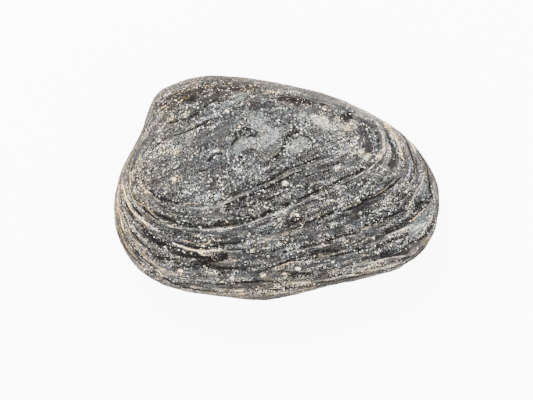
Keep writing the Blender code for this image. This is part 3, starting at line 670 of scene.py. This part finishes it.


# Streaks and large grains; the streaks along the growth lines carry painted shade and painted
# highlight.
lines = Layer("line_near", "line_side", "line_half_width", "line_tone", "line_warmth")
for half_width, change, warm, points in STREAKS:
    curve = smooth_curve(np.reshape(points, (-1, 2)), closed=False, steps=4)
    margin = (half_width + MARK_REACH) * MM
    past_low = swayed[:, :2] > curve.min(axis=0) - margin
    before_high = swayed[:, :2] < curve.max(axis=0) + margin
    near = np.flatnonzero(np.all(past_low & before_high, axis=1) & upper)
    side = distance_to(swayed[near], curve) / MM
    closeness = closeness_at(near, np.abs(side), half_width)
    lines.paint(near, closeness, side, half_width * broken[near], change, warm)
for x, y, radius in LARGE_GRAINS:
    near = np.flatnonzero(away_from(x, y) < (radius + MARK_REACH) * MM)
    side = spot(places[near], x, y, radius, radius * 0.8) * radius
    closeness = closeness_at(near, side, radius)
    lines.paint(near, closeness, side, radius, LARGE_GRAIN_TONE, LARGE_GRAIN_WARMTH)
lines.keep()

zones = Layer("zone", "zone_tone", "zone_warmth", "zone_speckle")
for x, y, half_length, half_width, turned, change, warm, speckled in PATCHES:
    near = np.flatnonzero(away_from(x, y) < 2.0 * max(half_length, half_width) * MM)
    share_out = spot(swayed[near], x, y, half_length, half_width, turned)
    closeness = np.clip(1.0 - 0.5 * share_out, 0.0, 1.0) * on_top[near]
    zones.paint(near, closeness, change, warm, speckled - 1.0)
zones.keep()

# The rim is rubbed smoother and browner than the rest, most of all along the hinge side.
RUBBED_ON_BOTH_SIDES = 0.5
RUBBED_WIDTH = 4.2
MORE_AT_HINGE = 2.2
rim_gap = np.abs(places[:, 2] - rim_height) / MM
hinge_side = np.clip(0.5 + places[:, 1] / (24 * MM), 0.0, 1.0)
rubbed = RUBBED_ON_BOTH_SIDES + (1.0 - RUBBED_ON_BOTH_SIDES) * hinge_side
keep("rubbed", rubbed * np.exp(-(rim_gap / (RUBBED_WIDTH + MORE_AT_HINGE * hinge_side)) ** 4))

# The washes' tone: the stone's own broad changes, and painted light along the rim.
wash_tone_and_painted_light = np.zeros(len(places))
wash_warmth = np.zeros(len(places))
for x, y, half_length, half_width, turned, change, warm in WASHES:
    wash = np.exp(-spot(places, x, y, half_length, half_width, turned) ** 2)
    wash_tone_and_painted_light += change * wash
    wash_warmth += warm * wash
keep("wash_tone_and_painted_light", wash_tone_and_painted_light)
keep("wash_warmth", wash_warmth)


def place(name, data):
    """A new object in the scene."""
    thing = bpy.data.objects.new(name, data)
    bpy.context.scene.collection.objects.link(thing)
    return thing


stone = place("fossil_stone", stone_mesh)


class Nodes:
    """Adds shader nodes to one material, each with its settings and inputs."""

    def __init__(self, material):
        material.use_nodes = True
        self.tree = material.node_tree
        self.tree.nodes.clear()

    def add(self, kind, inputs=None, **settings):
        node = self.tree.nodes.new(kind)
        for name, value in settings.items():
            setattr(node, name, value)
        for name, value in (inputs or {}).items():
            if isinstance(value, bpy.types.NodeSocket):
                self.tree.links.new(value, node.inputs[name])
            else:
                node.inputs[name].default_value = value
        return node

    def kept(self, name, output="Fac"):
        """Values kept on the mesh."""
        return self.add("ShaderNodeAttribute", attribute_name=name).outputs[output]

    def math(self, operation, first, second=0.0, third=0.0, clamp=False):
        inputs = {0: first, 1: second, 2: third}
        return self.add("ShaderNodeMath", inputs, operation=operation, use_clamp=clamp).outputs[0]

    def times(self, product, *factors, clamp=False):
        for factor in factors:
            product = self.math("MULTIPLY", product, factor, clamp=clamp)
        return product

    def plus(self, total, value, weight=1.0, clamp=False):
        """A total with a weighted value added to it."""
        return self.math("MULTIPLY_ADD", value, weight, total, clamp=clamp)

    def sum(self, total, *parts):
        """A total with weighted values added to it; each part is a value and its weight."""
        for value, weight in parts:
            total = self.plus(total, value, weight)
        return total

    def centred(self, value):
        """A value from 0 to 1 as its distance from the middle."""
        return self.math("SUBTRACT", value, 0.5)

    def fade(self, value, start, end, at_start=0.0, at_end=1.0, kind="LINEAR"):
        """A value's way from start to end, carried over to the way between two others."""
        inputs = {
            "Value": value, "From Min": start, "From Max": end, "To Min": at_start, "To Max": at_end}
        return self.add("ShaderNodeMapRange", inputs, interpolation_type=kind).outputs[0]

    def stretch(self, vector, scale):
        return self.add("ShaderNodeMapping", {"Vector": vector, "Scale": scale}).outputs[0]

    def noise(self, vector, scale, detail=2.0, roughness=0.5):
        inputs = {"Vector": vector, "Scale": scale, "Detail": detail, "Roughness": roughness}
        return self.add("ShaderNodeTexNoise", inputs).outputs["Fac"]

    def shifted(self, vector, shifts, distance):
        """A vector moved by a colour noise, by up to a distance on each axis."""
        inputs = {0: shifts, 1: (distance, distance, distance), 2: vector}
        return self.add("ShaderNodeVectorMath", inputs, operation="MULTIPLY_ADD").outputs[0]

    def grains(self, vector, scale=1.0):
        """Cells that each have a shade of their own: three random values, and how far out."""
        cells = self.add("ShaderNodeTexVoronoi", {"Vector": vector, "Scale": scale}, feature="F1")
        shades = self.add("ShaderNodeSeparateColor", {"Color": cells.outputs["Color"]}).outputs
        return shades, cells.outputs["Distance"]

    def ramp(self, value, stops):
        node = self.add("ShaderNodeValToRGB", {"Fac": value})
        while len(node.color_ramp.elements) < len(stops):
            node.color_ramp.elements.new(0.5)
        for element, (position, colour) in zip(node.color_ramp.elements, stops):
            element.position = position
            element.color = (*colour, 1.0)
        return node.outputs["Color"]

    def blend(self, colour, tint):
        """One colour multiplied by another."""
        node = self.tree.nodes.new("ShaderNodeMix")
        node.data_type = "RGBA"
        node.blend_type = "MULTIPLY"
        node.inputs[0].default_value = 1.0
        self.tree.links.new(colour, node.inputs[6])
        self.tree.links.new(tint, node.inputs[7])
        return node.outputs[2]


# How fast the patterns change: lumps in a metre.
CLOUD_SCALE = 160.0
EDGE_SCALE, FINE_EDGE_SCALE = 520.0, 1700.0
SHADE_SCALE, SHIFT_SCALE = 4200.0, 2200.0
GRAIN_SCALE, BIG_GRAIN_SCALE = 3000.0, 1500.0
HUE_SCALE, BROAD_HUE_SCALE, GREEN_SCALE = 420.0, 110.0, 380.0

# Tone runs from 0, black, to 1, white, as the eye sees it.
STONE_TONE = 0.395
DARKEST_BODY = 0.22
WHITEST = 0.98

GREYS = (
    (0.12, (0.005, 0.0047, 0.0045)),
    (0.26, (0.0195, 0.019, 0.0185)),
    (0.38, (0.0365, 0.0357, 0.0348)),
    (0.5, (0.067, 0.0655, 0.064)),
    (0.62, (0.123, 0.1205, 0.117)),
    (0.76, (0.295, 0.289, 0.28)),
    (0.92, (1.0, 0.985, 0.955)),
)
BLUE_TO_RUST = (
    (0.05, (0.88, 0.975, 1.08)),
    (0.37, (0.96, 0.99, 1.02)),
    (0.52, (1.04, 1.0, 0.95)),
    (0.72, (1.11, 0.995, 0.84)),
    (0.88, (1.19, 0.98, 0.7)),
    (1.0, (1.38, 0.95, 0.44)),
)
PINK_TO_GREEN = (
    (0.25, (1.04, 0.96, 1.04)),
    (0.5, (1.0, 1.0, 1.0)),
    (0.75, (0.965, 1.025, 0.965)),
)

stone_look = bpy.data.materials.new("worn_grey_stone")
look = Nodes(stone_look)
spot_on = look.add("ShaderNodeTexCoord").outputs["Object"]
flow_at = look.kept("flow", "Vector")
growth_at = look.kept("growth")
rubbed_at = look.kept("rubbed")


def layer_noise(along, across, detail=2.0, roughness=0.5):
    """Noise that follows the stone's layers, by how fast it changes along and across them."""
    return look.noise(look.stretch(flow_at, (along, along, across)), 1.0, detail, roughness)


# Cloudy tone, and streaks along the growth lines, which start outside the crown.
clouds = look.noise(spot_on, CLOUD_SCALE, 3.0, 0.55)
streaky = look.plus(-0.45, growth_at, 1.12, clamp=True)
broad_streaks = look.centred(layer_noise(0.08, 0.42, 2.0, 0.55))
thin_streaks = look.centred(layer_noise(0.09, 1.15, 3.0, 0.6))
streaks = look.sum(
    look.times(broad_streaks, 0.36), (thin_streaks, 0.55),
    (look.times(thin_streaks, thin_streaks), 2.0))
streaky = look.times(streaky, look.plus(1.0, rubbed_at, -0.45))
streaks = look.times(streaks, look.plus(0.4, streaky, 0.42))


def thin_lines(along, across, half_width, broken_along, broken_across):
    """Thin wavy lines along the growth lines: where a layer noise crosses its middle."""
    off_line = look.math("ABSOLUTE", look.centred(layer_noise(along, across)))
    line = look.fade(off_line, half_width * 0.4, half_width, 1.0, 0.0)
    unbroken = look.fade(layer_noise(broken_along, broken_across, 2.0, 0.6), 0.44, 0.56)
    return look.times(line, unbroken, streaky)


creases = thin_lines(0.09, 0.46, 0.05, 0.25, 0.31)
veins = thin_lines(0.08, 0.39, 0.04, 0.22, 0.27)

# Patches and streaks get ragged edges from the grain of the stone.
ragged = look.centred(look.noise(spot_on, EDGE_SCALE, 6.0, 0.75))
fine_ragged = look.centred(look.noise(spot_on, FINE_EDGE_SCALE, 2.0, 0.6))
in_zone = look.fade(look.plus(look.kept("zone"), ragged, 1.3), 0.4, 0.6)
half_width_at = look.kept("line_half_width")
beyond_edge = look.math("ABSOLUTE", look.kept("line_side"))
beyond_edge = look.math("SUBTRACT", beyond_edge, half_width_at)
beyond_edge = look.plus(beyond_edge, fine_ragged, look.plus(0.14, half_width_at, 1.1))
in_line = look.fade(beyond_edge, -0.03, 0.04, 1.0, 0.0)
in_line = look.times(in_line, look.fade(look.kept("line_near"), 0.35, 0.45))
zone_tone = look.times(in_zone, look.kept("zone_tone"))
zone_warm = look.times(in_zone, look.kept("zone_warmth"))
line_tone = look.times(in_line, look.kept("line_tone"))
line_tone = look.times(line_tone, look.plus(0.94, ragged, 1.8))
line_warm = look.times(in_line, look.kept("line_warmth"))

# The speckle is weaker in smooth patches, smooth strips and thin pale streaks, and on the rim.
smooth_strips = look.times(look.fade(layer_noise(0.1, 0.7, 1.0), 0.38, 0.52, -0.6, 0.12), streaky)
thin_line = look.fade(half_width_at, 0.25, 0.45, 0.75, 0.0)
thin_line = look.times(look.times(line_tone, 5.0, clamp=True), thin_line)
speckled = look.times(
    look.plus(1.0, in_zone, look.kept("zone_speckle")), look.plus(1.0, rubbed_at, -0.46),
    look.times(layer_noise(0.16, 0.22), 2.0), look.plus(1.0, smooth_strips),
    look.math("SUBTRACT", 1.0, thin_line))

# Grains, flakes that lie along the layers, and thin slivers of pale or black stone.
fine_shade = look.noise(spot_on, SHADE_SCALE, 0.0)
shifts = look.add("ShaderNodeTexNoise", {"Vector": spot_on, "Scale": SHIFT_SCALE, "Detail": 1.0})
uneven_at = look.shifted(spot_on, shifts.outputs["Color"], 0.0003)
uneven_flow = look.shifted(flow_at, shifts.outputs["Color"], 0.9)
cell_values, cell_distance = look.grains(uneven_at, GRAIN_SCALE)
cell_edge = look.fade(cell_distance, 0.5, 0.7, 1.0, 0.0)
big_values, big_distance = look.grains(uneven_at, BIG_GRAIN_SCALE)
big_edge = look.fade(big_distance, 0.32, 0.5, 1.0, 0.0)
flakes = look.grains(look.stretch(uneven_flow, (0.55, 0.55, 1.15)))[0]
slivers = look.grains(look.stretch(uneven_flow, (0.22, 0.22, 1.6)))[0]
cluster = look.plus(0.5, look.centred(layer_noise(0.14, 0.8, 2.0, 0.6)), 2.6, clamp=True)
white_grain = look.math("POWER", cell_values[0], look.plus(10.4, cluster, -6.0))
white_grain = look.times(look.times(white_grain, 1.08, clamp=True), cell_edge)
big_grain = look.math("POWER", big_values[0], look.plus(24.0, cluster, -16.0))
big_grain = look.times(big_grain, big_edge)
black_grain = look.times(look.math("POWER", cell_values[1], 6.0), cell_edge)
layered = look.sum(
    look.times(look.centred(flakes[0]), 0.08), (look.math("POWER", flakes[0], 5.0), 0.13),
    (look.math("POWER", slivers[0], 8.0), 0.17), (look.math("POWER", slivers[1], 8.0), -0.17))
layered = look.times(layered, look.plus(0.54, streaky, 0.12))

# The stone's tone, and what each pattern adds to it: the streaks and washes bring painted light and
# shade, and the tone also follows the relief, darker in grooves and pits and lighter on crests.
middle_bands = look.fade(growth_at, 0.8, 1.3, kind="SMOOTHSTEP")
outer_bands = look.fade(growth_at, 4.4, 6.3, kind="SMOOTHSTEP")
middle_bands = look.math("SUBTRACT", middle_bands, outer_bands)
body_tone = look.sum(
    STONE_TONE, (look.centred(clouds), look.plus(0.17, streaky, -0.1)), (middle_bands, -0.025),
    (streaks, 1.0), (smooth_strips, 0.03), (cluster, -0.05), (creases, -0.18), (veins, 0.15),
    (look.kept("relief"), 0.12), (zone_tone, 1.0), (look.kept("wash_tone_and_painted_light"), 1.0))
body_tone = look.math("SMOOTH_MAX", body_tone, DARKEST_BODY, 0.12)
speckle = look.sum(
    look.times(look.centred(fine_shade), 1.27), (look.centred(cell_values[2]), 0.17),
    (black_grain, -0.26), (layered, 1.0))
body_tone = look.sum(body_tone, (line_tone, 1.3), (speckle, speckled))
bright = look.math("MAXIMUM", white_grain, big_grain)
bright = look.times(bright, look.math("MINIMUM", speckled, 1.0))
tone_at = look.plus(body_tone, look.math("SUBTRACT", WHITEST, body_tone), bright)

# Hue: colder in places, warmer where the tone is dark, on veins, on the rim and in pale grains.
hue_noise = look.centred(look.noise(spot_on, HUE_SCALE, 2.0, 0.6))
broad_hue = look.centred(look.noise(spot_on, BROAD_HUE_SCALE, 1.0))
dark_warmth = look.fade(tone_at, 0.22, 0.45, 0.45, 0.0)
palest = look.fade(tone_at, 0.62, 0.92, kind="SMOOTHSTEP")
hue = look.sum(
    -0.36, (hue_noise, 3.8), (broad_hue, 1.8), (look.plus(line_warm, zone_warm), 1.0),
    (look.centred(cell_values[2]), 0.2), (dark_warmth, 1.0), (palest, look.plus(-0.05, big_values[1], 2.4)),
    (rubbed_at, 0.75), (look.kept("wash_warmth"), 1.0), (veins, 0.9))
greenness = look.sum(
    look.noise(spot_on, GREEN_SCALE, 4.0, 0.85), (zone_tone, 0.9), (look.centred(tone_at), 0.22),
    (rubbed_at, -0.18))
stone_colours = look.ramp(tone_at, GREYS)
stone_colours = look.blend(stone_colours, look.ramp(look.plus(0.45, hue, 0.2), BLUE_TO_RUST))
stone_colours = look.blend(stone_colours, look.ramp(greenness, PINK_TO_GREEN))

# Each grain stands up a little, and has a polish of its own.
grain_height = look.plus(fine_shade, white_grain, 0.5)
grain_bump = look.add("ShaderNodeBump", {"Height": grain_height, "Strength": 0.6, "Distance": 0.00012})
stone_shader = look.add("ShaderNodeBsdfPrincipled", {
    "Base Color": stone_colours, "Roughness": look.plus(0.8, cell_values[0], -0.15),
    "Normal": grain_bump.outputs[0], "Specular IOR Level": 0.06})
look.add("ShaderNodeOutputMaterial", {"Surface": stone_shader.outputs[0]})
stone_mesh.materials.append(stone_look)
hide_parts("fossil_bivalve")
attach(stone, "root")


# --- The floor -------------------------------------------------------------------------------
# A plain white table top under the stone.  It glows for the camera alone, so that it looks almost
# pure white, while the stone itself gets only the light that a white surface throws back.

FLOOR_HALF_WIDTH = 3.0
FLOOR_GLOW = 8.2
floor_shape = bmesh.new()
bmesh.ops.create_grid(floor_shape, x_segments=1, y_segments=1, size=FLOOR_HALF_WIDTH)
floor_mesh = bpy.data.meshes.new("floor")
floor_shape.to_mesh(floor_mesh)
floor_shape.free()
floor = place("floor", floor_mesh)
floor_look = bpy.data.materials.new("white_table")
table = Nodes(floor_look)
seen = table.add("ShaderNodeLightPath").outputs["Is Camera Ray"]
glow = table.add("ShaderNodeEmission", {
    "Color": (1.0, 1.0, 1.0, 1.0), "Strength": table.times(seen, FLOOR_GLOW)})
paint = table.add("ShaderNodeBsdfDiffuse", {"Color": (0.86, 0.86, 0.86, 1.0)})
both = table.add("ShaderNodeAddShader", {0: glow.outputs[0], 1: paint.outputs[0]})
table.add("ShaderNodeOutputMaterial", {"Surface": both.outputs[0]})
floor_mesh.materials.append(floor_look)


# --- Light -----------------------------------------------------------------------------------
# A white studio tent all round, and one large soft lamp above the hinge side, so that each
# ledge has a soft shade on its front.

SKY_STRENGTH = 2.6
LAMP_WATTS = 5.6
LAMP_SIZE = 0.35
world = bpy.data.worlds.new("white_tent")
bpy.context.scene.world = world
world.use_nodes = True
tent = world.node_tree.nodes["Background"]
tent.inputs["Color"].default_value = (1.0, 1.0, 1.0, 1.0)
tent.inputs["Strength"].default_value = SKY_STRENGTH
lamp_data = bpy.data.lights.new("soft_lamp", "AREA")
lamp_data.shape = "DISK"
lamp_data.size = LAMP_SIZE
lamp_data.energy = LAMP_WATTS
lamp = place("soft_lamp", lamp_data)
lamp.location = (-0.12, 0.30, 0.42)
to_stone = Vector((0.0, 0.0, 0.015)) - lamp.location
lamp.rotation_euler = to_stone.to_track_quat("-Z", "Y").to_euler()


# --- Camera ----------------------------------------------------------------------------------
# It looks straight down on the stone from well above, with the hinge side at the top.  A long
# lens keeps the outline free of perspective.

LENS_MM = 200.0
SENSOR_MM = 36.0
VIEW_WIDTH = 0.1308
VIEW_CENTRE = (-0.0024, -0.003)
VIEW_LEVEL = 0.015
camera_data = bpy.data.cameras.new("camera")
camera_data.lens = LENS_MM
camera_data.sensor_width = SENSOR_MM
camera_data.clip_end = 20.0
camera = place("camera", camera_data)
camera.location = (*VIEW_CENTRE, VIEW_LEVEL + VIEW_WIDTH * LENS_MM / SENSOR_MM)
bpy.context.scene.camera = camera
